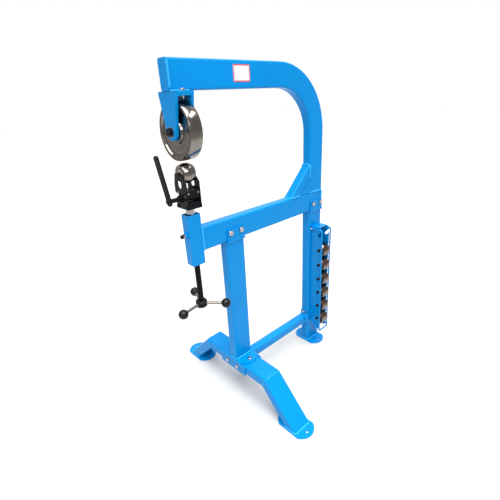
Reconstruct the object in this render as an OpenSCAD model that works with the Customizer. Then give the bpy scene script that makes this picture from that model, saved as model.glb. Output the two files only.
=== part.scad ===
/* [Frame tube] */
// Depth of the main rectangular tube, in the plane of the C
tube_depth = 100; // [90:1:110]
// Width of the main rectangular tube, across the C
tube_width = 50; // [46:1:56]
// Wall of the main rectangular tube
tube_wall = 4; // [3:0.5:5]
// Outside corner radius of the main tube
tube_corner = 8; // [6:0.5:10]
// Centre-line radius of the bend at the top of the C
bend_radius = 255; // [200:5:290]
// Thickness of the plates that close the open tube ends
cap_t = 4; // [3:0.5:6]

/* [Reach and heights] */
// Reach from the wheel axis back to the inside of the upright
throat = 711; // [620:1:800]
// Floor to the top of the upper beam
beam_top = 1531; // [1480:1:1600]
// Floor to the top of the lower arm
arm_top = 934; // [900:1:960]
// How far the upper beam runs ahead of the wheel axis
beam_overhang = 40; // [38:1:60]

/* [Corner brace] */
// Side of the square tube of the corner brace
brace_size = 50; // [46:1:54]
// Distance from the corner to where the brace meets each tube
brace_run = 144; // [120:1:180]
// Thickness of the two triangles that fill behind the brace
gusset_t = 4; // [3:0.5:6]

/* [Ram socket] */
// Length of the socket tube along the arm
socket_x = 60; // [58:1:70]
// Width of the socket tube across the arm
socket_y = 50; // [50:1:56]
// Wall of the socket tube
socket_wall = 3.5; // [3:0.5:4]
// Outside corner radius of the socket tube
socket_corner = 6; // [5:0.5:8]
// Length of the socket tube
socket_len = 212; // [190:1:230]
// Length of each guide bush inside the socket
bush_len = 40; // [30:1:45]
// Depth of the upper bush below the mouth of the socket
bush_sink = 8; // [5:1:12]
// Ram left showing between the socket and the cradle at its lowest
ram_show = 8; // [7:1:10]
// Height of the threaded block in the foot of the socket
nut_block_len = 24; // [18:1:30]
// Height of the guide bolt below the top of the socket
guide_drop = 82; // [70:1:95]

/* [Upper wheel] */
// Diameter of the upper wheel
wheel_d = 203; // [190:1:210]
// Width of the upper wheel's tread
wheel_w = 50; // [46:1:54]
// Beam underside down to the wheel's axis
wheel_drop = 131; // [125:1:140]
// Width of the rim's flat lip on each face
rim_lip = 11; // [8:1:16]
// Depth of the turned recess in each face
wheel_recess = 8; // [4:1:12]
// Diameter of the hub boss
wheel_hub_d = 84; // [70:1:96]
// Diameter of the wheel's axle bolt
wheel_axle_d = 20; // [18:1:22]
// Outside diameter of the wheel's ball bearings
wheel_bearing_d = 47; // [42:1:52]
// Width of the wheel's ball bearings
wheel_bearing_w = 14; // [12:1:16]

/* [Fork] */
// Plate thickness of the fork
fork_t = 10; // [8:1:12]
// Width of the fork where it meets the pad
fork_w = 110; // [100:1:120]
// Radius of the fork's rounded lower ends
fork_end_r = 30; // [26:1:34]
// Gap on each side between the wheel and the fork
fork_gap = 2; // [1.5:0.5:4]
// Inside bend radius of the fork
fork_bend_r = 6; // [4:1:9]
// Thickness of the pad between the beam and the fork
pad_t = 6; // [5:1:8]
// Distance of each pad bolt from the middle
pad_bolt_y = 42; // [40:1:44]

/* [Anvil wheels] */
// Diameter of the anvil wheels
anvil_d = 76; // [70:1:78]
// Width of the anvil wheels
anvil_w = 51; // [48:1:52]
// Crown radius of the anvil in the cradle
anvil_crown = 51; // [45:1:300]
// Diameter of the anvil axles
anvil_axle_d = 14; // [12:1:15]
// Outside diameter of the anvil bearings
anvil_bearing_d = 35; // [32:1:38]
// Width of the anvil bearings
anvil_bearing_w = 11; // [9:1:13]
// Gap between the two wheels as the machine stands
nip = 8; // [6:0.5:12]

/* [Cradle] */
// Thickness of the cradle's side plates
yoke_t = 5; // [4:0.5:6]
// Half width of the cradle's side plates
yoke_half = 38; // [37:1:42]
// Half width of the cradle's blocks
block_half = 34; // [33:1:36]
// Underside of the cradle's base block below the anvil's axis
cradle_h = 132.5; // [130:0.5:136]
// Height of the cradle's base block
base_block_h = 25.5; // [25:0.5:27]
// Height of the window between the two blocks
window_h = 16.5; // [15:0.5:18]
// Height of the upper cross block
cross_block_h = 30; // [28:1:32]
// Height of the cam shaft above the base block
cam_height = 15.5; // [15.5:0.5:17]
// Diameter of the cam shaft
cam_shaft_d = 17; // [15:0.5:17]
// Width of the side plates' openings
yoke_window = 26; // [20:1:28]
// How far the cradle drops when the lever is thrown
release_drop = 6; // [3:0.5:6]
// Turn of the lever that gives the whole drop
release_turn = 100; // [80:5:110]
// Distance of the lever from the wheel axis
lever_x = 85; // [75:1:95]
// Length of the lever above its shaft
lever_len = 161; // [140:1:180]
// Diameter of the lever bar
lever_d = 19; // [16:1:20]
// Lean of the lever at rest
lever_lean = 18; // [0:1:30]

/* [Lifting screw] */
// Diameter of the polished ram
ram_d = 38; // [34:1:38]
// Diameter of the lifting screw
screw_d = 24; // [22:1:26]
// Lowest travel of the ram from where it stands
ram_down = 18; // [10:1:19]
// Height of the ram's bearing end above the foot of the socket
ram_foot = 48; // [40:1:60]
// Free length of screw between the socket and the hub
screw_free = 176; // [150:1:200]
// Diameter of the handle's hub
hub_d = 50; // [46:1:54]
// Height of the handle's hub
hub_h = 30; // [28:1:32]
// Radius from the screw to the centre of each ball
ball_reach = 108; // [96:1:112]
// Diameter of the ball knobs
ball_d = 42; // [38:1:44]
// Diameter of the three handle rods
rod_d = 13; // [11:1:14]
// Angle of the first rod at rest
rod_angle = -49; // [-55:1:-45]

/* [Stand] */
// Distance of the front column behind the wheel axis
front_col_x = 196; // [190:1:210]
// Thickness of the saddle plates
saddle_t = 6; // [5:1:8]
// Height of the saddle plates beside the arm
saddle_rise = 53; // [52:1:62]
// Distance from each edge of a column to the edge of its saddle's sides
saddle_ease = 4; // [2:1:6]
// Distance between the two bolts in each saddle
saddle_bolt_pitch = 60; // [50:1:62]
// Height of the saddle bolts above the underside of the arm
saddle_bolt_z = 39; // [34:1:40]
// Thread diameter of the saddle bolts
saddle_bolt_d = 14; // [12:1:14]
// Width across flats of the saddle bolts
saddle_bolt_af = 22; // [19:1:22]
// Length of the foot plates
foot_len = 180; // [170:1:190]
// Width that the foot plates stand out past the tube on each side
foot_lap = 6; // [6:1:8]
// Thickness of the foot plates
foot_t = 6; // [5:1:8]
// How far the round ends of the foot plates are flatter than half circles
foot_ease = 6; // [4:1:10]
// Distance between the two holes of a foot plate
foot_hole_pitch = 134; // [124:1:140]
// Diameter of the foot plates' holes
foot_hole_d = 13; // [12:0.5:15]
// Floor to the top of the base beam
base_top = 197; // [190:1:210]
// Distance of each bend of the base beam from the middle
base_bend_y = 223; // [210:1:240]
// Distance from the middle to the outer end of each leg
base_leg_y = 408; // [400:1:420]
// Distance of each front foot plate's centre from the middle
foot_y = 367; // [360:1:375]
// Distance between the two bolts through the base beam
base_bolt_pitch = 72; // [60:1:80]

/* [Tie bar] */
// Side of the square tie bar
tie_size = 45; // [40:1:48]
// Wall of the tie bar
tie_wall = 3; // [2.5:0.5:4]
// Height of the tie bar's centre line
tie_z = 165; // [162:1:170]
// Floor to the bolt of the tie bar's rear tab
tie_bolt_z = 205; // [202:1:212]

/* [Anvil rack] */
// Sheet thickness of the rack
rack_t = 3; // [2:0.5:4]
// Inside width of the rack
rack_in = 60; // [58:1:64]
// Depth of the rack's side walls
rack_depth = 70; // [66:1:74]
// Top of the rack below the saddle of the rear column
rack_drop = 78; // [70:1:82]
// Axis of the top seat below the top of the rack
top_seat_drop = 49; // [47:1:60]
// Foot of the rack below the axis of the lowest seat
rack_foot_drop = 71; // [68:1:76]
// Distance from seat to seat
seat_pitch = 87; // [84:0.5:88]
// Distance of the seats out from the column
seat_out = 51; // [49:1:53]
// Clearance of the slots round the axles
slot_play = 0.5; // [0.3:0.1:1]
// Diameter of the retaining bail's rod
bail_d = 8; // [6:1:9]
// Height of the bail's pivot below the top of the rack
bail_pivot_drop = 12; // [10:1:16]

/* [Fasteners] */
// Thread diameter of the frame bolts
bolt_d = 12; // [10:1:12]
// Width across flats of the frame bolts
bolt_af = 19; // [17:1:19]
// Height of the frame bolts' heads
bolt_head_h = 8; // [6:1:9]
// Radial clearance of a shaft that turns or slides in a bore
run_fit = 0.05; // [0.03:0.01:0.08]
// Radial clearance of a bolt in its hole
bolt_play = 0.5; // [0.3:0.1:0.8]
// Gap between moving pieces that do not touch
gap = 0.3; // [0.2:0.1:0.4]

/* [Hidden] */
$fn = 64;
eps = 0.01;

// Crown radius of each spare anvil, from the top of the rack down
spare_crowns = [75, 100, 150, 200, 300, 900];

// Heights and stations worked out from the driving dimensions
beam_z = beam_top - tube_depth / 2;
beam_under = beam_top - tube_depth;
bend_out = bend_radius + tube_depth / 2;
upright_x = throat + tube_depth / 2;
back_x = throat + tube_depth;
bend_x = back_x - bend_out;
bend_z = beam_top - bend_out;
arm_under = arm_top - tube_depth;
arm_front = socket_x / 2;
wheel_z = beam_under - wheel_drop;
wheel_r = wheel_d / 2;
anvil_r = anvil_d / 2;
anvil_z = wheel_z - wheel_r - nip - anvil_r;

base_under = anvil_z - cradle_h;
socket_top = base_under - ram_down - ram_show;
socket_foot = socket_top - socket_len;
guide_z = socket_top - guide_drop;
bush_r = ram_d / 2 + run_fit;

fork_in = wheel_w / 2 + fork_gap;
fork_out = fork_in + fork_t;
fork_top = beam_under - pad_t;

// Cradle, built down from the anvil's axis
yoke_in = anvil_w / 2 + 1;
yoke_out = yoke_in + yoke_t;
base_top_z = base_under + base_block_h;
cross_under = base_top_z + window_h;
cross_top = cross_under + cross_block_h;
cam_z = base_top_z + cam_height;
yoke_under = base_under + 1;
notch_y = 18;
ear_foot = cross_top - 10;
screw_r = 3;
guide_y = block_half - 6;
guide_screw_z = base_under + 9;
stub_r = 5;
lever_tail = 9;

// Ram and screw
ram_low = socket_foot + ram_foot;
ram_top = base_under + 20;
hub_top = socket_foot - screw_free;
hub_mid = hub_top - hub_h / 2;
tip_r = 7;
tip_len = 15;
key_w = 10 + 1;
key_deep = 4;

// Stand
saddle_under = arm_under - saddle_t;
foot_w = tube_depth + 2 * foot_lap;
foot_end_r = foot_w / 2 + foot_ease;
base_under_z = base_top - tube_width;
base_mid_z = base_top - tube_width / 2;
flange_top = base_top + foot_t;
leg_run = base_leg_y - base_bend_y;
leg_fall = base_top - foot_t;
leg_slope = atan2(leg_fall, leg_run);
mitre_in = tube_width * tan(leg_slope / 2);
mitre_gap = 0.02;
front_col_back = front_col_x + tube_depth / 2;
tie_front = front_col_back + foot_lap + saddle_t;
tie_back = throat - saddle_t;

// Rack
rack_x = upright_x;
rack_y = -tube_width / 2;
rack_half = rack_in / 2;
rack_out = rack_half + rack_t;
seat_y = rack_y - seat_out;
seat_count = len(spare_crowns) + 1;
rack_top = saddle_under - rack_drop;
top_seat_z = rack_top - top_seat_drop;
rack_len = top_seat_drop + (seat_count - 1) * seat_pitch + rack_foot_drop;
seat_d = anvil_axle_d + 2 * slot_play;
slot_w = anvil_axle_d + slot_play;
bail_x = rack_out + gap + bail_d / 2;
bail_y = rack_y - rack_depth - gap - bail_d / 2;
bail_pivot_y = rack_y - 11;
bail_pivot_z = rack_top - bail_pivot_drop;
bail_low = rack_top - rack_len - 4;
bail_bend = 12;
bail_eye_r = 7;
bail_bolt_r = 3;
stay_slope = 30;
slot_slope = 45;
stay_low = bail_low + bail_bend + 2;
rack_cut = 14;
rack_rise = (rack_depth - rack_cut) * tan(stay_slope);
rack_bolt_low = rack_top - rack_len + rack_rise + 25;
rack_bolt_high = rack_top - 45;

// The part's zero is on the floor under the middle of its whole length
ball_front = -ball_reach * cos(rod_angle + 240) + ball_d / 2;
whole_back = upright_x + foot_w / 2;
shift_x = -(whole_back - ball_front) / 2;

// Moves the wheel axis, where x and y are zero, to its place ahead of the middle
module placed() {
    translate([shift_x, 0, 0]) children();
}

// Solid rectangle with round corners, centred
module round_rect(a, b, r) {
    square([a - 2 * r, b], center = true);
    square([a, b - 2 * r], center = true);
    for (i = [-1, 1], j = [-1, 1])
        translate([i * (a / 2 - r), j * (b / 2 - r)]) circle(r);
}

// Cross section of a rectangular tube
module tube_section(a, b, r, wall) {
    difference() {
        round_rect(a, b, r);
        round_rect(a - 2 * wall, b - 2 * wall, max(r - wall, 1));
    }
}

// The main tube lying along x, width across y and depth up z, starting at x = 0
module main_tube_x(length) {
    rotate([90, 0, 90]) linear_extrude(length)
        tube_section(tube_width, tube_depth, tube_corner, tube_wall);
}

// The main tube standing up z, depth along x, starting at z = 0
module main_tube_z(length) {
    linear_extrude(length)
        tube_section(tube_depth, tube_width, tube_corner, tube_wall);
}

// A cylinder along x from x0 to x1
module rod_x(x0, x1, r) {
    translate([x0, 0, 0]) rotate([0, 90, 0]) cylinder(r = r, h = x1 - x0);
}

// A cylinder along y from y0 to y1
module rod_y(y0, y1, r) {
    translate([0, y0, 0]) rotate([-90, 0, 0]) cylinder(r = r, h = y1 - y0);
}

// Hexagonal prism with its corners turned off at the outer end
module hex_head(af, h) {
    intersection() {
        cylinder(d = af / cos(30), h = h, $fn = 6);
        union() {
            cylinder(d = af * 1.14, h = h * 0.75);
            translate([0, 0, h * 0.75 - eps])
                cylinder(d1 = af * 1.14, d2 = af * 0.9, h = h * 0.25 + eps);
        }
    }
}

// Bolt from z = 0 down, with its head standing on z = 0
module bolt(d, af, head_h, length) {
    hex_head(af, head_h);
    translate([0, 0, -length]) cylinder(d = d, h = length + eps);
}

// Nut that stands on z = 0 round a bolt of diameter d
module nut(d, af, h) {
    difference() {
        hex_head(af, h);
        translate([0, 0, -1]) cylinder(r = d / 2 + run_fit, h = h + 2);
    }
}

// Through bolt along y: head in front of y0, nut behind y1
module bolt_y(d, af, y0, y1) {
    translate([0, y0, 0]) rotate([90, 0, 0])
        bolt(d, af, bolt_head_h, y1 - y0 + bolt_head_h + 4);
    translate([0, y1, 0]) rotate([-90, 0, 0]) nut(d, af, bolt_head_h);
}

// Through bolt along x: head in front of x0, nut behind x1
module bolt_x(x0, x1) {
    translate([x0, 0, 0]) rotate([0, -90, 0])
        bolt(bolt_d, bolt_af, bolt_head_h, x1 - x0 + bolt_head_h + 4);
    translate([x1, 0, 0]) rotate([0, 90, 0]) nut(bolt_d, bolt_af, bolt_head_h);
}

// Outline of a foot plate, straight sides along y and a shallow arc at each end
module foot_outline() {
    intersection() {
        square([foot_w, foot_len], center = true);
        union() {
            square([foot_w, foot_len - 2 * foot_end_r], center = true);
            for (s = [-1, 1])
                translate([0, s * (foot_len / 2 - foot_end_r)]) circle(foot_end_r, $fn = 96);
        }
    }
}

// Foot plate with its two holes, standing on z = 0
module foot_plate() {
    linear_extrude(foot_t) difference() {
        foot_outline();
        for (s = [-1, 1])
            translate([0, s * foot_hole_pitch / 2]) circle(d = foot_hole_d);
    }
}

// Upper C: straight beam, bend and upright as one bent tube
module c_frame() {
    color("deepskyblue") placed() {
        translate([-beam_overhang + cap_t, 0, beam_z])
            main_tube_x(bend_x + beam_overhang - cap_t);
        translate([bend_x, 0, bend_z]) rotate([90, 0, 0])
            rotate_extrude(angle = 90, $fn = 128) translate([bend_radius, 0])
                tube_section(tube_depth, tube_width, tube_corner, tube_wall);
        translate([upright_x, 0, arm_top]) main_tube_z(bend_z - arm_top);
    }
}

// Plates that close the front of the beam and the back of the arm
module end_caps() {
    color("deepskyblue") placed() {
        translate([-beam_overhang, 0, beam_z]) rotate([90, 0, 90])
            linear_extrude(cap_t) round_rect(tube_width, tube_depth, tube_corner);
        translate([back_x - cap_t, 0, arm_under + tube_depth / 2]) rotate([90, 0, 90])
            linear_extrude(cap_t) round_rect(tube_width, tube_depth, tube_corner);
    }
}

// Places children at the two saddle bolts over one column
module at_saddle_bolts(column_x) {
    for (s = [-1, 1])
        translate([column_x + s * saddle_bolt_pitch / 2, 0, arm_under + saddle_bolt_z])
            children();
}

// Lower arm, from the socket back under the upright
module lower_arm() {
    color("deepskyblue") placed() difference() {
        translate([arm_front, 0, arm_under + tube_depth / 2])
            main_tube_x(back_x - cap_t - arm_front);
        for (x = [front_col_x, upright_x]) at_saddle_bolts(x)
            rod_y(-tube_width, tube_width, saddle_bolt_d / 2 + bolt_play);
    }
}

// Square tube set at 45 degrees into the corner of the throat
module corner_brace() {
    mid = brace_run / 2 - brace_size / 2 / sqrt(2);
    color("deepskyblue") placed() intersection() {
        translate([throat - mid, 0, arm_top + mid])
            rotate([0, 45, 0]) translate([0, 0, -brace_run])
                linear_extrude(2 * brace_run)
                    tube_section(brace_size, tube_width, tube_corner, tube_wall);
        translate([throat - 2 * brace_run, -tube_width, arm_top])
            cube([2 * brace_run, 2 * tube_width, 2 * brace_run]);
    }
}

// Two triangles that close the corner behind the brace
module brace_gussets() {
    leg = brace_run - brace_size * sqrt(2);
    color("deepskyblue") placed() for (s = [-1, 1])
        translate([throat, s * (tube_width - gusset_t) / 2, arm_top]) rotate([90, 0, 0])
            linear_extrude(gusset_t, center = true) polygon([[0, 0], [0, leg], [-leg, 0]]);
}

// Upright tube at the front of the arm that guides the ram
module ram_socket() {
    color("deepskyblue") placed() difference() {
        translate([0, 0, socket_foot]) linear_extrude(socket_len)
            tube_section(socket_x, socket_y, socket_corner, socket_wall);
        translate([0, 0, guide_z]) rod_x(-socket_x, -1, 5 + bolt_play);
    }
}

// Section of the blocks that fill the socket's bore
module socket_block(height, bore_r) {
    linear_extrude(height) difference() {
        round_rect(socket_x - 2 * socket_wall, socket_y - 2 * socket_wall, socket_corner - 2);
        circle(bore_r);
    }
}

// Two plain bushes that the ram slides in
module guide_bushes() {
    color("goldenrod") placed() {
        translate([0, 0, socket_top - bush_sink - bush_len]) socket_block(bush_len, bush_r);
        translate([0, 0, ram_low - 18]) socket_block(bush_len, bush_r);
    }
}

// Threaded block in the foot of the socket
module lift_nut() {
    color("dimgray") placed() translate([0, 0, socket_foot])
        socket_block(nut_block_len, screw_d / 2 + run_fit);
}

// Six-sided boss welded to the front of the socket for the guide bolt
module guide_boss() {
    color("deepskyblue") placed() translate([-socket_x / 2, 0, guide_z]) rotate([0, -90, 0])
        difference() {
            hex_head(24, 10);
            translate([0, 0, -1]) cylinder(r = 5 + run_fit, h = 12);
        }
}

// Lock nut on the guide bolt
module guide_lock_nut() {
    color("silver") placed() translate([-socket_x / 2 - 10, 0, guide_z]) rotate([0, -90, 0])
        nut(10, 17, 6);
}

// Socket-head bolt whose end runs in the ram's keyway
module guide_bolt() {
    head_x = -socket_x / 2 - 16;
    color("dimgray") placed() translate([0, 0, guide_z]) difference() {
        union() {
            rod_x(head_x - 10, head_x, 8);
            rod_x(head_x - eps, -ram_d / 2 + key_deep - gap, 5);
        }
        translate([head_x - 10 - eps, 0, 0]) rotate([0, 90, 0])
            cylinder(d = 8 / cos(30), h = 5, $fn = 6);
    }
}

// Plate welded under the beam that the fork bolts to
module fork_pad() {
    color("deepskyblue") placed() difference() {
        translate([-fork_out, -fork_w / 2, fork_top])
            cube([2 * fork_out, fork_w, pad_t]);
        for (s = [-1, 1])
            translate([0, s * pad_bolt_y, fork_top - 1]) cylinder(r = 5 + bolt_play, h = pad_t + 2);
    }
}

// Outline of one side of the fork: a taper that runs into a round end
module fork_outline() {
    rise = fork_top - wheel_z;
    half = fork_w / 2;
    turn = atan2(rise, half) - acos(fork_end_r / norm([half, rise]));
    meet = [fork_end_r * cos(turn), fork_end_r * sin(turn)];
    polygon([[half, rise], [-half, rise], [-meet[0], meet[1]], meet]);
    circle(fork_end_r);
}

// Thick plate bent into a U that straddles the upper wheel
module wheel_fork() {
    tall = fork_top - wheel_z + fork_end_r;
    color("deepskyblue") placed() difference() {
        intersection() {
            translate([0, 0, wheel_z - fork_end_r]) rotate([90, 0, 0])
                linear_extrude(fork_w + 2, center = true) difference() {
                    translate([-fork_out, 0]) square([2 * fork_out, tall]);
                    translate([-fork_in, -1]) square([2 * fork_in, tall - fork_t - fork_bend_r + 1]);
                    translate([-fork_in + fork_bend_r, 0])
                        square([2 * (fork_in - fork_bend_r), tall - fork_t]);
                    for (s = [-1, 1])
                        translate([s * (fork_in - fork_bend_r), tall - fork_t - fork_bend_r])
                            circle(fork_bend_r);
                }
            translate([0, 0, wheel_z]) rotate([90, 0, 90])
                linear_extrude(2 * fork_out + 2, center = true) fork_outline();
        }
        translate([0, 0, wheel_z]) rod_x(-fork_out - 1, fork_out + 1, wheel_axle_d / 2 + run_fit);
        for (s = [-1, 1])
            translate([0, s * pad_bolt_y, fork_top - fork_t - 1])
                cylinder(r = 5 + run_fit, h = fork_t + 2);
    }
}

// Two bolts through the pad, screwed into the fork, with pointed ends
module fork_bolts() {
    reach = pad_t + fork_t + 4;
    color("silver") placed() for (s = [-1, 1]) translate([0, s * pad_bolt_y, beam_under]) {
        bolt(10, 17, 6.5, reach);
        translate([0, 0, -reach - 7]) cylinder(r1 = 1.5, r2 = 5, h = 7 + eps);
    }
}

// Bolt that the upper wheel turns on
module wheel_axle() {
    color("dimgray") placed() translate([-fork_out - 3, 0, wheel_z]) rotate([0, -90, 0])
        bolt(wheel_axle_d, 26, 13, 2 * fork_out + 3 + 24);
}

// Washers outside the fork and spacers inside it, on the wheel's axle
module wheel_spacers() {
    color("silver") placed() translate([0, 0, wheel_z]) difference() {
        for (s = [-1, 1]) {
            translate([s * (fork_out + 1.5), 0, 0]) rod_x(-1.5, 1.5, 18);
            translate([s * (wheel_w / 2 + fork_gap / 2), 0, 0])
                rod_x(-fork_gap / 2, fork_gap / 2, wheel_axle_d / 2 + 4);
        }
        rod_x(-fork_out - 5, fork_out + 5, wheel_axle_d / 2 + run_fit);
    }
}

// Nut on the far end of the wheel's axle
module axle_nut() {
    color("silver") placed() translate([fork_out + 3, 0, wheel_z]) rotate([0, 90, 0])
        nut(wheel_axle_d, 30, 16);
}

// Sealed ball bearing along x, starting at x = 0
module bearing(inner_d, outer_d, width) {
    lip = (outer_d - inner_d) / 2;
    rotate([0, 90, 0]) rotate_extrude() polygon([
        [inner_d / 2 + run_fit, 0],
        [inner_d / 2 + 0.25 * lip, 0],
        [inner_d / 2 + 0.30 * lip, 0.6],
        [inner_d / 2 + 0.72 * lip, 0.6],
        [inner_d / 2 + 0.77 * lip, 0],
        [outer_d / 2, 0],
        [outer_d / 2, width],
        [inner_d / 2 + 0.77 * lip, width],
        [inner_d / 2 + 0.72 * lip, width - 0.6],
        [inner_d / 2 + 0.30 * lip, width - 0.6],
        [inner_d / 2 + 0.25 * lip, width],
        [inner_d / 2 + run_fit, width]
    ]);
}

// The two ball bearings inside the upper wheel
module wheel_bearings() {
    color("lightsteelblue") placed() translate([0, 0, wheel_z]) for (s = [0, 1])
        mirror([s, 0, 0]) translate([-wheel_w / 2, 0, 0])
            bearing(wheel_axle_d, wheel_bearing_d, wheel_bearing_w);
}

// Large flat wheel with a turned recess in each face
module upper_wheel() {
    half = wheel_w / 2;
    pocket = wheel_bearing_d / 2 + run_fit;
    web = half - wheel_recess;
    rim_in = wheel_r - rim_lip;
    face = [
        [pocket - 3, half - wheel_bearing_w], [pocket, half - wheel_bearing_w], [pocket, half],
        [wheel_hub_d / 2 - 1, half], [wheel_hub_d / 2, half - 1], [wheel_hub_d / 2 + 3, web],
        [rim_in - 3, web], [rim_in, half - 1], [rim_in + 1, half],
        [wheel_r - 1.5, half], [wheel_r - 0.5, half - 0.5], [wheel_r, half - 1.8]
    ];
    back = [for (i = [len(face) - 1 : -1 : 0]) [face[i][0], -face[i][1]]];
    color("gainsboro") placed() translate([0, 0, wheel_z]) rotate([0, 90, 0])
        rotate_extrude($fn = 128) polygon(concat(face, back));
}

// Front column between the base beam and the arm
module front_column() {
    color("deepskyblue") placed() translate([front_col_x, 0, flange_top])
        main_tube_z(saddle_under - flange_top);
}

// Rear column under the upright, drilled for the tie bar's bolt
module rear_column() {
    color("deepskyblue") placed() difference() {
        translate([upright_x, 0, foot_t]) main_tube_z(saddle_under - foot_t);
        translate([0, 0, tie_bolt_z]) rod_x(throat - 1, throat + 2 * tube_wall, bolt_d / 2 + bolt_play);
        for (z = [rack_bolt_low, rack_bolt_high])
            translate([rack_x, 0, z]) rod_y(rack_y - 1, rack_y + 2 * tube_wall, 4 + run_fit);
    }
}

// U-shaped saddle welded to the top of one column, round the underside of the arm
module saddle() {
    half = tube_width / 2;
    lap = 4;
    translate([-tube_depth / 2 - lap, -half - saddle_t, saddle_under])
        cube([tube_depth + 2 * lap, tube_width + 2 * saddle_t, saddle_t]);
    for (s = [0, 1]) mirror([0, s, 0])
        translate([0, half + saddle_t / 2, arm_under + saddle_rise / 2]) rotate([90, 0, 0])
            linear_extrude(saddle_t, center = true) {
                translate([0, -saddle_rise / 4])
                    square([tube_depth - 2 * saddle_ease, saddle_rise / 2], center = true);
                round_rect(tube_depth - 2 * saddle_ease, saddle_rise, 3);
            }
}

// The two saddles that carry the arm
module arm_saddles() {
    color("deepskyblue") placed() difference() {
        for (x = [front_col_x, upright_x]) translate([x, 0, 0]) saddle();
        for (x = [front_col_x, upright_x]) at_saddle_bolts(x)
            rod_y(-tube_width, tube_width, saddle_bolt_d / 2 + bolt_play);
    }
}

// Bolts through the saddles and the arm
module saddle_bolts() {
    reach = tube_width / 2 + saddle_t;
    color("silver") placed() for (x = [front_col_x, upright_x]) at_saddle_bolts(x)
        bolt_y(saddle_bolt_d, saddle_bolt_af, -reach, reach);
}

// Rounded flange with two side plates that clamps the front column to the base beam
module column_flange() {
    lip = 4;
    side_len = foot_len - 2 * (foot_end_r - sqrt(pow(foot_end_r, 2) - pow(foot_w / 2, 2))) - 2;
    color("deepskyblue") placed() translate([front_col_x, 0, 0]) difference() {
        union() {
            translate([0, 0, base_top]) foot_plate();
            for (s = [-1, 1]) translate([s * (foot_w - foot_lap) / 2 - foot_lap / 2, 0, 0]) {
                translate([0, -side_len / 2, base_under_z])
                    cube([foot_lap, side_len, tube_width + foot_t / 2]);
                translate([0, -foot_len / 2, base_under_z - lip])
                    cube([foot_lap, foot_len, tube_width + lip]);
            }
        }
        for (s = [-1, 1]) translate([0, s * base_bolt_pitch / 2, base_mid_z])
            rod_x(-foot_w, foot_w, bolt_d / 2 + bolt_play);
    }
}

// The base beam's tube lying along y, width along x and thickness up z, centred
module base_tube(length) {
    rotate([90, 0, 0]) linear_extrude(length, center = true)
        tube_section(tube_depth, tube_width, tube_corner, tube_wall);
}

// Base beam: a level middle and two legs mitred down to the feet
module base_beam() {
    leg_len = norm([leg_run, leg_fall]);
    inner_y = base_bend_y - mitre_in;
    color("deepskyblue") placed() translate([front_col_x, 0, 0]) difference() {
        union() {
            intersection() {
                translate([0, 0, base_mid_z]) base_tube(2 * base_bend_y);
                rotate([90, 0, 90]) linear_extrude(2 * tube_depth, center = true) polygon([
                    [base_bend_y, base_top], [-base_bend_y, base_top],
                    [-inner_y, base_under_z], [inner_y, base_under_z]
                ]);
            }
            for (s = [0, 1]) mirror([0, s, 0]) intersection() {
                translate([0, base_bend_y, base_top]) rotate([-leg_slope, 0, 0])
                    translate([0, leg_len / 2, -tube_width / 2]) base_tube(2 * leg_len);
                translate([0, mitre_gap, 0]) rotate([90, 0, 90])
                    linear_extrude(2 * tube_depth, center = true) polygon([
                        [base_bend_y, base_top], [inner_y, base_under_z], [inner_y, foot_t],
                        [base_leg_y, foot_t], [base_leg_y, base_top]
                    ]);
            }
        }
        for (s = [-1, 1]) translate([0, s * base_bolt_pitch / 2, base_mid_z])
            rod_x(-foot_w, foot_w, bolt_d / 2 + bolt_play);
        for (s = [-1, 1]) translate([0, s * foot_hole_pitch / 2, base_under_z - 1])
            cylinder(r = bolt_d / 2 + bolt_play, h = tube_width + 2);
    }
}

// Foot plates under the two legs
module front_feet() {
    color("deepskyblue") placed() for (s = [-1, 1])
        translate([front_col_x, s * foot_y, 0]) foot_plate();
}

// Foot plate under the rear column
module rear_foot() {
    color("deepskyblue") placed() translate([upright_x, 0, 0]) foot_plate();
}

// Two bolts across the base beam and two down through the flange
module base_bolts() {
    color("silver") placed() {
        for (s = [-1, 1]) translate([0, s * base_bolt_pitch / 2, base_mid_z])
            bolt_x(front_col_x - foot_w / 2, tie_front);
        for (s = [-1, 1]) translate([front_col_x, s * foot_hole_pitch / 2, 0]) {
            translate([0, 0, flange_top])
                bolt(bolt_d, bolt_af, bolt_head_h, foot_t + tube_width + bolt_head_h + 3);
            translate([0, 0, base_under_z]) rotate([180, 0, 0]) nut(bolt_d, bolt_af, bolt_head_h);
        }
    }
}

// Square tube that ties the base beam to the rear column
module tie_bar() {
    color("deepskyblue") placed() translate([tie_front, 0, tie_z]) rotate([90, 0, 90])
        linear_extrude(tie_back - tie_front) tube_section(tie_size, tie_size, 6, tie_wall);
}

// Plate on the front of the tie bar, under the nuts of the base bolts
module tie_front_plate() {
    plate_w = base_bolt_pitch + 28;
    color("deepskyblue") placed() difference() {
        translate([tie_front - saddle_t, -plate_w / 2, base_under_z + 2])
            cube([saddle_t, plate_w, tube_width - 4]);
        for (s = [-1, 1]) translate([0, s * base_bolt_pitch / 2, base_mid_z])
            rod_x(tie_front - saddle_t - 1, tie_front + 1, bolt_d / 2 + bolt_play);
    }
}

// Round-topped tab on the back of the tie bar
module tie_rear_tab() {
    low = tie_z - tie_size / 2;
    color("deepskyblue") placed() translate([tie_back, 0, 0]) difference() {
        rotate([90, 0, 90]) linear_extrude(saddle_t) {
            translate([-tie_size / 2, low]) square([tie_size, tie_bolt_z - low]);
            translate([0, tie_bolt_z]) circle(d = tie_size);
        }
        translate([0, 0, tie_bolt_z]) rod_x(-1, saddle_t + 1, bolt_d / 2 + bolt_play);
    }
}

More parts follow.
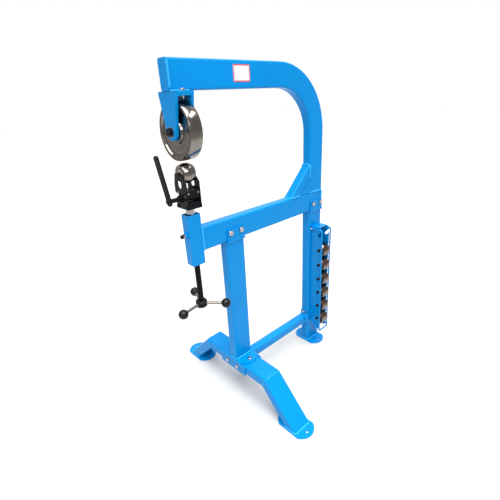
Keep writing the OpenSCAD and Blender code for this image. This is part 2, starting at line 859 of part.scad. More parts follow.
// Bolt of the rear tab, with its nut inside the column
module tie_bolt() {
    color("silver") placed() translate([0, 0, tie_bolt_z]) {
        translate([tie_back, 0, 0]) rotate([0, -90, 0])
            bolt(bolt_d, bolt_af, bolt_head_h, saddle_t + tube_wall + 14);
        translate([throat + tube_wall, 0, 0]) rotate([0, 90, 0])
            nut(bolt_d, bolt_af, bolt_head_h);
    }
}

// Outline of a rack wall: cut corners, a pivot hole, and round seats open to the front by slots
module rack_wall_outline() {
    low = rack_top - rack_len;
    front = rack_y - rack_depth;
    difference() {
        polygon([
            [rack_y, low + rack_rise], [rack_y, rack_top], [front + rack_cut, rack_top],
            [front, rack_top - rack_cut], [front, low + rack_cut], [front + rack_cut, low]
        ]);
        for (k = [0 : seat_count - 1]) translate([seat_y, top_seat_z - k * seat_pitch]) {
            circle(d = seat_d);
            rotate(-slot_slope) translate([-rack_depth, -slot_w / 2]) square([rack_depth, slot_w]);
        }
        translate([bail_pivot_y, bail_pivot_z]) circle(bail_bolt_r + bolt_play);
    }
}

// Folded sheet rack with seven open seats, fixed to the side of the rear column
module anvil_rack() {
    back_low = rack_top - rack_len + rack_rise;
    color("deepskyblue") placed() translate([rack_x, 0, 0]) difference() {
        union() {
            translate([-rack_out, rack_y - rack_t, back_low])
                cube([2 * rack_out, rack_t, rack_top - back_low]);
            for (s = [0, 1]) mirror([s, 0, 0]) translate([rack_half, 0, 0])
                rotate([90, 0, 90]) linear_extrude(rack_t) rack_wall_outline();
            translate([-rack_out, rack_y - rack_depth + rack_cut, rack_top - rack_t])
                cube([2 * rack_out, rack_depth - rack_cut, rack_t]);
        }
        for (z = [rack_bolt_low, rack_bolt_high]) translate([0, 0, z])
            rod_y(rack_y - rack_t - 1, rack_y + 1, 4 + bolt_play);
        translate([8, rack_y - 22, rack_top - rack_t - 1]) cylinder(r = 6, h = rack_t + 2);
    }
}

// Two low bolts that hold the rack's back to the column
module rack_bolts() {
    color("silver") placed() for (z = [rack_bolt_low, rack_bolt_high])
        translate([rack_x, rack_y - rack_t, z]) rotate([90, 0, 0])
            bolt(8, 13, 4, rack_t + tube_wall + 5);
}

// Two pivot bolts of the bail
module bail_bolts() {
    head = bail_x + bail_d / 2 + 2 * gap;
    color("peru") placed() translate([rack_x, bail_pivot_y, bail_pivot_z])
        for (s = [0, 1]) mirror([s, 0, 0]) {
            translate([head, 0, 0]) rotate([0, 90, 0]) hex_head(10, 4);
            rod_x(rack_half - 8, head + eps, bail_bolt_r);
            translate([rack_half, 0, 0]) rotate([0, -90, 0]) nut(2 * bail_bolt_r, 10, 5);
        }
}

// Quarter bend of the bail's rod, from level to straight down beside the rack
module bail_top_bend() {
    translate([bail_x, bail_y + bail_bend, bail_pivot_z - bail_bend]) rotate([90, 0, -90])
        rotate_extrude(angle = 90) translate([bail_bend, 0]) circle(d = bail_d);
}

// Quarter bend of the bail's rod, from straight down to across the rack
module bail_low_bend() {
    translate([bail_x - bail_bend, bail_y, bail_low + bail_bend]) rotate([-90, 0, 0])
        rotate_extrude(angle = 90) translate([bail_bend, 0]) circle(d = bail_d);
}

// One side of the bail: pivot eye, arm, leg and the stay that slopes up to the column
module bail_side() {
    stay_run = rack_y - gap - bail_y - bail_d / 2 * sin(stay_slope);
    translate([bail_x, bail_pivot_y, bail_pivot_z])
        rod_x(-bail_d / 2 - gap / 2, bail_d / 2 + gap / 2, bail_eye_r);
    translate([bail_x, 0, bail_pivot_z]) rod_y(bail_y + bail_bend, bail_pivot_y, bail_d / 2);
    bail_top_bend();
    translate([bail_x, bail_y, bail_low + bail_bend])
        cylinder(d = bail_d, h = bail_pivot_z - bail_low - 2 * bail_bend);
    bail_low_bend();
    translate([bail_x, bail_y, stay_low]) rotate([stay_slope - 90, 0, 0])
        cylinder(d = bail_d - 1, h = stay_run / cos(stay_slope));
}

// Rod bail that hangs in front of the seats and keeps the axles in
module bail() {
    color("deepskyblue") placed() translate([rack_x, 0, 0]) difference() {
        union() {
            for (s = [0, 1]) mirror([s, 0, 0]) bail_side();
            translate([0, bail_y, bail_low])
                rod_x(-bail_x + bail_bend, bail_x - bail_bend, bail_d / 2);
        }
        translate([0, bail_pivot_y, bail_pivot_z])
            rod_x(-bail_x - bail_d, bail_x + bail_d, bail_bolt_r + run_fit);
    }
}

// Axle of an anvil wheel, with its edges turned off
module axle() {
    length = rack_out + 3;
    rotate([0, 90, 0]) rotate_extrude() polygon([
        [0, -length], [anvil_axle_d / 2 - 1, -length], [anvil_axle_d / 2, -length + 1],
        [anvil_axle_d / 2, length - 1], [anvil_axle_d / 2 - 1, length], [0, length]
    ]);
}

// Places children at the axis of spare anvil k
module at_seat(k) {
    translate([rack_x, seat_y, top_seat_z - k * seat_pitch]) children();
}

// Axles of the spare anvils
module spare_axles() {
    color("dimgray") placed() for (k = [1 : seat_count - 1]) at_seat(k) axle();
}

// The two bearings of one anvil wheel
module anvil_bearing_pair() {
    for (s = [0, 1]) mirror([s, 0, 0]) translate([-anvil_w / 2, 0, 0])
        bearing(anvil_axle_d, anvil_bearing_d, anvil_bearing_w);
}

// Bearings inside the spare anvils
module spare_bearings() {
    color("lightsteelblue") placed() for (k = [1 : seat_count - 1]) at_seat(k)
        anvil_bearing_pair();
}

// Anvil wheel whose tread is crowned to the given radius
module anvil_body(crown) {
    half = anvil_w / 2;
    pocket = anvil_bearing_d / 2 + run_fit;
    rotate([0, 90, 0]) rotate_extrude($fn = 96) difference() {
        intersection() {
            translate([pocket - 3, -half]) square([anvil_r - pocket + 4, anvil_w]);
            translate([anvil_r - crown, 0]) circle(crown, $fn = 360);
        }
        for (s = [-1, 1]) translate([0, s * half])
            square([2 * pocket, 2 * anvil_bearing_w], center = true);
        for (s = [0, 1]) mirror([0, s])
            polygon([
                [pocket + 3, half + 1], [pocket + 3, half - 0.4], [pocket + 4, half - 1.4],
                [pocket + 8, half - 1.4], [pocket + 9, half - 0.4], [pocket + 9, half + 1]
            ]);
    }
}

// Crowned anvil wheel in the cradle
module anvil_wheel() {
    color("gainsboro") placed() translate([0, 0, anvil_z]) anvil_body(anvil_crown);
}

// Spare anvil number k, counted from the top of the rack
module spare_anvil(k) {
    color("gainsboro") placed() at_seat(k) anvil_body(spare_crowns[k - 1]);
}

// Axle of the anvil in the cradle
module anvil_axle() {
    color("dimgray") placed() translate([0, 0, anvil_z]) rotate([0, 90, 0]) cylinder(
        r = anvil_axle_d / 2, h = 2 * yoke_out + 6, center = true);
}

// Bearings of the anvil in the cradle
module anvil_bearings() {
    color("lightsteelblue") placed() translate([0, 0, anvil_z]) anvil_bearing_pair();
}

// Polished ram with a keyway for the guide bolt and a seat for the screw
module ram() {
    r = ram_d / 2;
    color("silver") placed() difference() {
        translate([0, 0, ram_low]) cylinder(r = r, h = ram_top - ram_low);
        translate([-r - 1, -key_w / 2, ram_low - 1])
            cube([key_deep + 1, key_w, guide_z + ram_down + 14 - ram_low]);
        translate([0, 0, ram_low - 1]) cylinder(r = tip_r + run_fit, h = tip_len + gap + 1);
    }
}

// Lower block of the cradle, bored for the ram, its lock screw and the guide screws
module cradle_base() {
    half = yoke_in - 2 * run_fit;
    color("dimgray") placed() difference() {
        translate([-half, -block_half, base_under])
            cube([2 * half, 2 * block_half, base_block_h]);
        translate([0, 0, base_under - 1]) cylinder(r = ram_d / 2 + run_fit, h = 21);
        translate([0, 0, base_under + base_block_h / 2])
            rod_y(-block_half - 1, -ram_d / 4, screw_r + 1 + run_fit);
        guide_screw_places() translate([0, 0, -yoke_t - 12 - gap])
            cylinder(r = screw_r + run_fit, h = 20);
    }
}

// Places children at the four screws that guide the side plates on the base block
module guide_screw_places() {
    for (s = [0, 1], y = [-guide_y, guide_y]) mirror([s, 0, 0])
        translate([yoke_out, y, guide_screw_z]) rotate([0, 90, 0]) children();
}

// Guide screws of the side plates and the lock screw of the ram
module base_screws() {
    color("dimgray") placed() {
        guide_screw_places() {
            translate([0, 0, gap]) cylinder(r = screw_r + 2.5, h = 4.5);
            translate([0, 0, -yoke_t - 12]) cylinder(r = screw_r, h = yoke_t + 12 + gap + eps);
        }
        translate([0, 0, base_under + base_block_h / 2]) difference() {
            rod_y(-block_half - 1.5, -ram_d / 2 - gap, screw_r + 1);
            translate([0, -block_half - 2, 0]) rotate([-90, 0, 0])
                cylinder(d = 4 / cos(30), h = 5, $fn = 6);
        }
    }
}

// Outline of a cradle side plate: body, open seat at the top and waist at the back
module yoke_outline() {
    seat_top = anvil_z + 2;
    polygon([
        [-yoke_half, yoke_under], [-yoke_half, anvil_z - 31], [-anvil_axle_d / 2 - 2, seat_top],
        [yoke_half - 12, seat_top], [yoke_half - 8, anvil_z - 6], [yoke_half, anvil_z - 40],
        [yoke_half, ear_foot], [notch_y, ear_foot - 6],
        [notch_y, cam_z + 3], [yoke_half, base_top_z - 8], [yoke_half, yoke_under]
    ]);
}

// Two side plates that carry the anvil and slide on the base block
module yoke_plates() {
    slot_r = screw_r + gap;
    color("dimgray") placed() difference() {
        for (s = [0, 1]) mirror([s, 0, 0]) translate([yoke_in, 0, 0]) rotate([90, 0, 90])
            linear_extrude(yoke_t) difference() {
                yoke_outline();
                translate([0, anvil_z]) circle(anvil_axle_d / 2 + run_fit);
                translate([-anvil_axle_d / 2 - run_fit, anvil_z])
                    square([anvil_axle_d + 2 * run_fit, 20]);
                translate([4 - yoke_window / 2, anvil_z - 42]) square([yoke_window, 12]);
                for (z = [-42, -30]) translate([4, anvil_z + z]) circle(d = yoke_window);
                for (y = [-guide_y, guide_y]) {
                    translate([y - slot_r, guide_screw_z]) square([2 * slot_r, release_drop]);
                    for (z = [0, release_drop]) translate([y, guide_screw_z + z]) circle(slot_r);
                }
            }
        translate([0, 0, cam_z])
            rod_x(-yoke_out - 1, yoke_out + 1, cam_shaft_d / 2 + run_fit);
        yoke_screw_places() cylinder(r = screw_r + run_fit, h = 40, center = true);
    }
}

// Places children at the screws that hold the plates to the cross block
module yoke_screw_places() {
    for (s = [0, 1], at = [[-block_half + 8, cross_under + 9], [notch_y - 7, cross_top - 8]])
        mirror([s, 0, 0]) translate([yoke_out, at[0], at[1]]) rotate([0, 90, 0]) children();
}

// Places children at the two screws in the front of the cross block
module front_screw_places() {
    for (s = [-1, 1]) translate([s * (yoke_in - 5), -block_half, cross_top - 10])
        rotate([90, 0, 0]) children();
}

// Cross block between the plates, slotted for the cam
module yoke_block() {
    cam_w = cam_width() + 2 * bolt_play;
    color("dimgray") placed() difference() {
        translate([-yoke_in, -block_half, cross_under])
            cube([2 * yoke_in, block_half + notch_y, cross_block_h]);
        translate([0, 0, cam_z]) rod_x(-yoke_in - 1, yoke_in + 1, cam_shaft_d / 2 + run_fit);
        translate([-cam_w / 2, -cam_reach() - 1.5, cross_under - 1])
            cube([cam_w, 2 * cam_reach() + 3, cam_z + cam_reach() + 1.5 - cross_under]);
        yoke_screw_places() translate([0, 0, -12 - yoke_t])
            cylinder(r = screw_r + run_fit, h = 20);
        front_screw_places() translate([0, 0, -12]) cylinder(r = 2.5 + run_fit, h = 20);
    }
}

// Screws through the side plates into the cross block, and two in its front
module yoke_screws() {
    color("silver") placed() {
        yoke_screw_places() {
            cylinder(r = 5, h = 4.5);
            translate([0, 0, -yoke_t - 10]) cylinder(r = screw_r, h = yoke_t + 10 + eps);
        }
        front_screw_places() {
            cylinder(r = 4, h = 3);
            translate([0, 0, -10]) cylinder(r = 2.5, h = 10 + eps);
        }
    }
}

// Boss bush outside the side plate for the cam shaft
module cam_bush() {
    color("dimgray") placed() translate([0, 0, cam_z]) difference() {
        rod_x(-yoke_out - 13, -yoke_out, 14);
        rod_x(-yoke_out - 14, -yoke_out + 1, cam_shaft_d / 2 + run_fit);
    }
}

function cam_width() = 18;
function cam_reach() = cam_height - gap - 0.35;

// Radius of the cam at angle a, measured backwards from straight down
function cam_r(a) =
    a < -20 ? cam_shaft_d / 2 + 0.8 :
    a < 0 ? cam_reach() - 2 * pow(a / 20, 2) :
    a <= release_turn + 15 ? cam_reach() - release_drop * a / release_turn :
    cam_shaft_d / 2 + 0.8;

// Cam shaft: round bar, snail cam in the middle and a stepped outer end
module cam_shaft() {
    r = cam_shaft_d / 2;
    inner = yoke_out - 0.5;
    color("dimgray") placed() translate([0, 0, cam_z]) {
        rod_x(-lever_x + lever_d / 2 + 1, inner, r);
        rod_x(-lever_x - lever_d / 2 - 1, -lever_x + lever_d / 2 + 1 + eps, stub_r);
        rotate([90, 0, 90]) linear_extrude(cam_width(), center = true)
            polygon([for (a = [-180 : 4 : 179]) cam_r(a) * [sin(-a), -cos(-a)]]);
    }
}

// Lever bar with an eye for the cam shaft
module release_lever() {
    color("dimgray") placed() translate([-lever_x, 0, cam_z]) difference() {
        union() {
            rod_x(-lever_d / 2 - 1, lever_d / 2 + 1, lever_d / 2 - 2);
            rotate([-lever_lean, 0, 0]) {
                translate([0, 0, -lever_tail]) cylinder(d = lever_d, h = lever_tail + lever_len);
                for (z = [-lever_tail, lever_len]) translate([0, 0, z]) sphere(d = lever_d);
            }
        }
        rod_x(-lever_d, lever_d, stub_r + run_fit);
    }
}

// Lifting screw with a turned-down end that bears in the ram
module lift_screw() {
    shoulder = ram_low - gap;
    color("dimgray") placed() {
        translate([0, 0, hub_top - hub_h]) cylinder(d = screw_d, h = shoulder - hub_top + hub_h);
        translate([0, 0, shoulder - eps]) cylinder(r = tip_r, h = tip_len);
    }
}

// Places children at the start of each handle rod, pointing outwards along x
module at_rods() {
    for (k = [0 : 2]) translate([0, 0, hub_mid]) rotate([0, 0, rod_angle + 120 * k]) children();
}

// Hub at the foot of the screw
module handle_hub() {
    color("dimgray") placed() difference() {
        translate([0, 0, hub_top - hub_h]) rotate_extrude() polygon([
            [0, 0], [hub_d / 2 - 3, 0], [hub_d / 2, 3], [hub_d / 2, hub_h - 6],
            [hub_d / 2 - 2, hub_h - 4], [hub_d / 2 - 2, hub_h - 2], [hub_d / 2 - 4, hub_h], [0, hub_h]
        ]);
        translate([0, 0, hub_top - hub_h - 1]) cylinder(r = screw_d / 2 + run_fit, h = hub_h + 2);
        at_rods() rod_x(screw_d / 2 - 3, hub_d / 2 + 5, rod_d / 2 + run_fit);
    }
}

// Three rods of the handle
module handle_rods() {
    color("silver") placed() at_rods()
        rod_x(screw_d / 2 + 1, ball_reach - ball_d / 2 + 12, rod_d / 2);
}

// Three ball knobs
module handle_balls() {
    color("black") placed() at_rods() difference() {
        translate([ball_reach, 0, 0]) sphere(d = ball_d);
        rod_x(ball_reach - ball_d, ball_reach - ball_d / 2 + 12.3, rod_d / 2 + run_fit);
    }
}

c_frame();
end_caps();
lower_arm();
corner_brace();
brace_gussets();
ram_socket();
guide_bushes();
lift_nut();
guide_boss();
guide_lock_nut();
guide_bolt();
fork_pad();
wheel_fork();
fork_bolts();
wheel_axle();
wheel_spacers();
axle_nut();
wheel_bearings();
front_column();
rear_column();
arm_saddles();
saddle_bolts();
column_flange();
base_beam();
front_feet();
rear_foot();
base_bolts();
tie_bar();
tie_front_plate();
tie_rear_tab();
tie_bolt();
anvil_rack();
rack_bolts();
bail_bolts();
spare_axles();
spare_bearings();
upper_wheel();
ram();
cradle_base();
base_screws();
lift_screw();
handle_hub();
handle_rods();
handle_balls();
yoke_plates();
yoke_block();
yoke_screws();
cam_bush();
anvil_axle();
anvil_bearings();
cam_shaft();
release_lever();
anvil_wheel();
bail();
spare_anvil(1);  // spare_anvil_1
spare_anvil(2);  // spare_anvil_2
spare_anvil(3);  // spare_anvil_3
spare_anvil(4);  // spare_anvil_4
spare_anvil(5);  // spare_anvil_5
spare_anvil(6);  // spare_anvil_6
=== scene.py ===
"""Looks of the english wheel: paint, welds, label, turned wheels, screw thread, finishes and studio."""
import math

import bpy
from mathutils import Matrix, Vector


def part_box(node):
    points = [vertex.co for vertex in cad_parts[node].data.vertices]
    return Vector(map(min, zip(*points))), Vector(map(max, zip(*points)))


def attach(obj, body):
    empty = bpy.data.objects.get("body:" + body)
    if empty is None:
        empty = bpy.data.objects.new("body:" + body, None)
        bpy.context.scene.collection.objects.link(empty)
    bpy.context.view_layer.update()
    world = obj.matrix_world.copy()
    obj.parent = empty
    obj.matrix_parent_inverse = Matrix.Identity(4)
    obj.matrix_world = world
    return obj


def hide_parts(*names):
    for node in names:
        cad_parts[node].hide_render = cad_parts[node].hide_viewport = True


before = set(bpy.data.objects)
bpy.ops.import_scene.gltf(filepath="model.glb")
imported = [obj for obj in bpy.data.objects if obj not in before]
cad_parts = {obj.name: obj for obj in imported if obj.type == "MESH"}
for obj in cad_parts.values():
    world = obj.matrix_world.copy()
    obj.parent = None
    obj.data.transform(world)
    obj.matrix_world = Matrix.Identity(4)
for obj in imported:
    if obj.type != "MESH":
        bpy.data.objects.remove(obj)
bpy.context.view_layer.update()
bpy.ops.object.select_all(action="DESELECT")


# Frame and stand. Rectangular steel tube and plate, welded up and powder coated in one gloss azure.
# The coat has a slight orange peel and varies a little in depth.
class Wire:
    """A socket of a shader tree; arithmetic on it adds Math nodes."""

    def __init__(self, socket):
        self.socket = socket
        self.tree = socket.id_data

    def node(self, kind, settings, sockets, out=0):
        """Another node of the tree: its settings first, then the values or links of its sockets."""
        made = self.tree.nodes.new(kind)
        for name, value in settings.items():
            setattr(made, name, value)
        for name, value in sockets.items():
            if isinstance(value, Wire):
                self.tree.links.new(value.socket, made.inputs[name])
            else:
                made.inputs[name].default_value = value
        return Wire(made.outputs[out])

    def math(self, operation, first, second=0.0):
        return self.node("ShaderNodeMath", {"operation": operation}, {0: first, 1: second})

    def feed(self, socket):
        """Links the wire to that socket of the finish."""
        shader = self.tree.nodes["Principled BSDF"]
        self.tree.links.new(self.socket, shader.inputs[socket])

    def __add__(self, other):
        return self.math("ADD", self, other)

    def __sub__(self, other):
        return self.math("SUBTRACT", self, other)

    def __rsub__(self, other):
        return self.math("SUBTRACT", other, self)

    def __mul__(self, other):
        return self.math("MULTIPLY", self, other)

    __radd__ = __add__
    __rmul__ = __mul__


def new_finish(name, **sockets):
    """A new material with its own shader values, and the wire of its object coordinates."""
    made = bpy.data.materials.new(name)
    made.use_nodes = True
    tree = made.node_tree
    for socket, value in sockets.items():
        tree.nodes["Principled BSDF"].inputs[socket.replace("_", " ")].default_value = value
    return made, Wire(tree.nodes.new("ShaderNodeTexCoord").outputs["Object"])


def grain(place, scale, detail=3.0):
    """Fine uneven noise over the piece, from 0 to 1, at so many cells a metre."""
    return place.node("ShaderNodeTexNoise", {}, {"Vector": place, "Scale": scale, "Detail": detail})


def shade_between(dark, light, factor):
    """A colour that runs from one to the other with the factor."""
    return factor.node(
        "ShaderNodeMix", {"data_type": "RGBA"}, {"Factor": factor, 6: (*dark, 1), 7: (*light, 1)}, out=2
    )


def relief(height, depth):
    """Feeds a height from 0 to 1, so many metres deep, to the surface."""
    bump = height.node("ShaderNodeBump", {}, {"Height": height, "Distance": depth, "Strength": 1.0})
    bump.feed("Normal")


def coat_nodes(material, *names):
    """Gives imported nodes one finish."""
    for name in names:
        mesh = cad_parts[name].data
        mesh.materials.clear()
        mesh.materials.append(material)


def azure_coat(name, dark, light):
    """Gloss powder coat that varies between two blues."""
    made, place = new_finish(name, Coat_Weight=0.03, Coat_Roughness=0.06, IOR=1.22)
    shade_between(dark, light, grain(place, 5.0)).feed("Base Color")
    (0.24 + 0.12 * grain(place, 40.0)).feed("Roughness")
    relief(grain(place, 650.0, 1.0), 0.00006)
    return made


azure = azure_coat("azure_powder_coat", (0.0, 0.183, 0.485), (0.0, 0.213, 0.56))
coat_nodes(
    azure, "c_frame", "end_caps", "lower_arm", "corner_brace", "brace_gussets", "ram_socket", "guide_boss",
    "fork_pad", "wheel_fork", "front_column", "rear_column", "arm_saddles", "column_flange", "base_beam",
    "front_feet", "rear_foot", "tie_bar", "tie_front_plate", "tie_rear_tab", "anvil_rack", "bail",
)


# Welds of the frame and the stand. Steel beads laid in ripples round each joint and coated with the tubes,
# so they show as a raised, uneven line. Their coat is a paler blue than the tubes', a painted highlight
# standing in for the light that the ripples catch.
RIPPLE = 0.0040
SWELL = 1.25
BEAD = 0.0034
MITRE_BEAD = 0.0018
WOBBLE = 0.35
WOBBLE_GRAIN = 0.012
# The welds' blue is paler than the tubes': a painted highlight for the light caught on the ripples.
azure_weld_painted_highlight = azure_coat("azure_weld_painted_highlight", (0.01, 0.29, 0.66), (0.04, 0.38, 0.75))


def bead(start, end, size):
    """One straight run of weld: a ring swollen at half pitch, repeated along the run and closed."""
    start, end = Vector(start), Vector(end)
    run = end - start
    count = max(2, round(run.length / RIPPLE))
    step = run.length / count
    bpy.ops.mesh.primitive_circle_add(vertices=10, radius=size)
    made = bpy.context.object
    bpy.ops.object.mode_set(mode="EDIT")
    bpy.ops.mesh.select_mode(type="VERT")
    bpy.ops.mesh.select_all(action="SELECT")
    for swell in (SWELL, 1 / SWELL):
        bpy.ops.mesh.extrude_region_move(TRANSFORM_OT_translate={"value": (0, 0, step / 2)})
        bpy.ops.transform.resize(value=(swell, swell, 1), center_override=(0, 0, 0))
    bpy.ops.object.mode_set(mode="OBJECT")
    ripples = made.modifiers.new("ripples", "ARRAY")
    ripples.count = count
    ripples.relative_offset_displace = (0, 0, 1)
    ripples.use_merge_vertices = True
    ripples.merge_threshold = step / 50
    bpy.ops.object.modifier_apply(modifier="ripples")
    bpy.ops.object.mode_set(mode="EDIT")
    bpy.ops.mesh.select_all(action="SELECT")
    bpy.ops.mesh.fill_holes(sides=12)
    bpy.ops.mesh.select_all(action="SELECT")
    bpy.ops.mesh.normals_make_consistent(inside=False)
    bpy.ops.object.mode_set(mode="OBJECT")
    made.rotation_euler = run.to_track_quat("Z", "Y").to_euler()
    made.location = start
    bpy.ops.object.transform_apply(location=True, rotation=True, scale=True)
    return made


def ring_of_runs(centre, across, up, corner):
    """The eight runs round a rectangular tube: across and up are its half sides, as vectors."""
    centre, across, up = Vector(centre), Vector(across), Vector(up)
    in_across = across - across.normalized() * corner
    in_up = up - up.normalized() * corner
    # Each corner of the tube is cut off between two points, taken in turn all the way round.
    corners = ((1, 1, (0, 1)), (-1, 1, (1, 0)), (-1, -1, (0, 1)), (1, -1, (1, 0)))
    points = []
    for side, top, order in corners:
        for flat in order:
            sideways = side * (in_across if flat else across)
            upwards = top * (up if flat else in_up)
            points.append(centre + sideways + upwards)
    return list(zip(points, points[1:] + points[:1]))


def join(name, pieces):
    """Joins like pieces into one object with that name."""
    bpy.ops.object.select_all(action="DESELECT")
    for piece in pieces:
        piece.select_set(True)
    bpy.context.view_layer.objects.active = pieces[0]
    if len(pieces) > 1:
        bpy.ops.object.join()
    joined = bpy.context.object
    joined.name = name
    bpy.ops.object.select_all(action="DESELECT")
    return joined


def weld(name, runs, size=BEAD):
    """A joint's beads as one uneven, painted piece."""
    piece = join(name, [bead(start, end, size) for start, end in runs])
    uneven = bpy.data.textures.new(name + "_wobble", "CLOUDS")
    uneven.noise_scale = WOBBLE_GRAIN
    push = piece.modifiers.new("uneven", "DISPLACE")
    push.texture = uneven
    push.texture_coords = "LOCAL"
    push.strength = size * WOBBLE
    push.mid_level = 0.5
    bpy.context.view_layer.objects.active = piece
    bpy.ops.object.modifier_apply(modifier="uneven")
    piece.select_set(True)
    bpy.ops.object.shade_smooth_by_angle(angle=math.radians(60))
    piece.select_set(False)
    piece.data.materials.clear()
    # The paler weld blue, a painted highlight.
    piece.data.materials.append(azure_weld_painted_highlight)
    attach(piece, "stand")


TUBE_CORNER = 0.008
beam_lo, beam_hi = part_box("c_frame")
arm_lo, arm_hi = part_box("lower_arm")
half_y = arm_hi.y
half_deep = (arm_hi.z - arm_lo.z) / 2
beam_mid = beam_hi.z - half_deep
arm_mid = arm_hi.z - half_deep
upright_mid = beam_hi.x - half_deep
wide = Vector((0, half_y, 0))
tall = Vector((0, 0, half_deep))
lengthways = Vector((half_deep, 0, 0))
# The front cap's bead is ground down at its top and bottom, so it stays below the beam's upper face.
GROUND_DOWN = 0.0047
low_tall = Vector((0, 0, half_deep - GROUND_DOWN))
weld("front_cap_weld", ring_of_runs((beam_lo.x, 0, beam_mid), wide, low_tall, TUBE_CORNER))
weld("rear_cap_weld", ring_of_runs((arm_hi.x, 0, arm_mid), wide, tall, TUBE_CORNER))
weld("upright_weld", ring_of_runs((upright_mid, 0, arm_hi.z), wide, lengthways, TUBE_CORNER))
socket_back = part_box("ram_socket")[1].x
weld("socket_weld", ring_of_runs((socket_back, 0, arm_mid), wide, tall, TUBE_CORNER))
pad_lo, pad_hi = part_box("fork_pad")
weld("pad_weld", [((pad_lo.x, y, pad_hi.z), (pad_hi.x, y, pad_hi.z)) for y in (-half_y, half_y)])
for column, foot_name in (("front_column", "flange_weld"), ("rear_column", "rear_foot_weld")):
    column_lo, column_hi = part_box(column)
    middle = (column_lo + column_hi) / 2
    weld(foot_name, ring_of_runs((middle.x, 0, column_lo.z), wide, lengthways, TUBE_CORNER))
    weld(column + "_saddle_weld", ring_of_runs((middle.x, 0, column_hi.z), wide, lengthways, TUBE_CORNER))
brace_lo, brace_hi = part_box("corner_brace")
gusset_lo, gusset_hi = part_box("brace_gussets")
half_cut = ((brace_hi.x - brace_lo.x) - (gusset_hi.x - gusset_lo.x)) / 2
weld("brace_weld", [
    *ring_of_runs((brace_lo.x + half_cut, 0, brace_lo.z), wide, (half_cut, 0, 0), TUBE_CORNER),
    *ring_of_runs((brace_hi.x, 0, brace_hi.z - half_cut), wide, (0, 0, half_cut), TUBE_CORNER),
])
tie_lo, tie_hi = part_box("tie_bar")
tie_mid = (tie_lo + tie_hi) / 2
tie_half = (tie_hi - tie_lo) / 2
tie_wide = Vector((0, tie_half.y, 0))
tie_tall = Vector((0, 0, tie_half.z))
for name, tie_end in (("tie_front_weld", tie_lo.x), ("tie_rear_weld", tie_hi.x)):
    weld(name, ring_of_runs((tie_end, 0, tie_mid.z), tie_wide, tie_tall, TUBE_CORNER / 2))

# The base beam's legs: how far each runs out from its bend, and how far inside it the side beads start.
LEG_RUN = 0.185
MITRE_DRAW = 0.003
base_lo, base_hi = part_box("base_beam")
base_mid_x = (base_lo.x + base_hi.x) / 2
base_top = base_hi.z
base_under = base_top - 2 * half_y
foot_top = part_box("front_feet")[1].z
leg_slope = math.atan2(base_top - foot_top, LEG_RUN)
leg_foot = 2 * half_y / math.sin(leg_slope)
bend_y = base_hi.y - LEG_RUN
bend_in = bend_y - 2 * half_y * math.tan(leg_slope / 2)
for end in (-1, 1):
    name = "right" if end < 0 else "left"
    heel = (base_mid_x, end * (base_hi.y - leg_foot / 2), foot_top)
    weld(name + "_foot_weld", ring_of_runs(heel, lengthways, (0, leg_foot / 2, 0), TUBE_CORNER))
    front_end = (base_lo.x + TUBE_CORNER, end * bend_y, base_top)
    back_end = (base_hi.x - TUBE_CORNER, end * bend_y, base_top)
    mitre = [(front_end, back_end)]
    for face_x in (base_lo.x, base_hi.x):
        upper_end = (face_x, end * (bend_y - MITRE_DRAW), base_top - TUBE_CORNER)
        mitre.append((upper_end, (face_x, end * bend_in, base_under + TUBE_CORNER)))
    weld(name + "_mitre_weld", mitre, MITRE_BEAD)


# Label plate on the beam's side. A thin white vinyl plate with round corners and a red rule, left bare,
# stuck flat on the paint.
PLATE_LONG = 0.086
PLATE_TALL = 0.060
PLATE_THICK = 0.0006
PLATE_CORNER = 0.005
PLATE_BEHIND_WHEEL = 0.284
PLATE_HEIGHT = 1.485
RULE_INSET = 0.0004
RULE_WIDE = 0.0042
white_vinyl, place = new_finish("white_vinyl", Coat_Weight=0.05, Coat_Roughness=0.15)
shade_between((0.58, 0.605, 0.66), (0.64, 0.665, 0.72), grain(place, 60.0)).feed("Base Color")
(0.30 + 0.08 * grain(place, 200.0)).feed("Roughness")
red_rule, place = new_finish("red_rule", Coat_Weight=0.2, Coat_Roughness=0.15)
shade_between((0.45, 0.005, 0.02), (0.55, 0.01, 0.03), grain(place, 90.0)).feed("Base Color")
(0.30 + 0.08 * grain(place, 200.0)).feed("Roughness")

wheel_lo, wheel_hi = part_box("upper_wheel")
wheel_mid = (wheel_lo + wheel_hi) / 2
plate_mid = Vector((wheel_mid.x + PLATE_BEHIND_WHEEL, -half_y - PLATE_THICK / 2, PLATE_HEIGHT))
bpy.ops.mesh.primitive_cube_add(size=1, location=plate_mid, scale=(PLATE_LONG, PLATE_THICK, PLATE_TALL))
plate = bpy.context.object
bpy.ops.object.transform_apply(location=True, rotation=True, scale=True)
bpy.ops.object.mode_set(mode="EDIT")
bpy.ops.mesh.select_mode(type="EDGE")
bpy.ops.mesh.select_all(action="DESELECT")
bpy.ops.object.mode_set(mode="OBJECT")
for edge in plate.data.edges:
    ends = [plate.data.vertices[i].co for i in edge.vertices]
    edge.select = abs(ends[0].y - ends[1].y) > PLATE_THICK / 2
bpy.ops.object.mode_set(mode="EDIT")
bpy.ops.mesh.bevel(offset=PLATE_CORNER, segments=6, affect="EDGES")
bpy.ops.mesh.select_mode(type="FACE")
bpy.ops.mesh.select_all(action="DESELECT")
bpy.ops.object.mode_set(mode="OBJECT")
for face in plate.data.polygons:
    face.select = face.normal.y < -0.9
plate.data.materials.append(white_vinyl)
plate.data.materials.append(red_rule)
bpy.ops.object.mode_set(mode="EDIT")
for slot, width in ((1, RULE_INSET), (0, RULE_WIDE)):
    bpy.ops.mesh.inset(thickness=width)
    plate.active_material_index = slot
    bpy.ops.object.material_slot_assign()
bpy.ops.mesh.select_mode(type="VERT")
bpy.ops.object.mode_set(mode="OBJECT")
plate.name = "label_plate"
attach(plate, "stand")
plate.select_set(False)


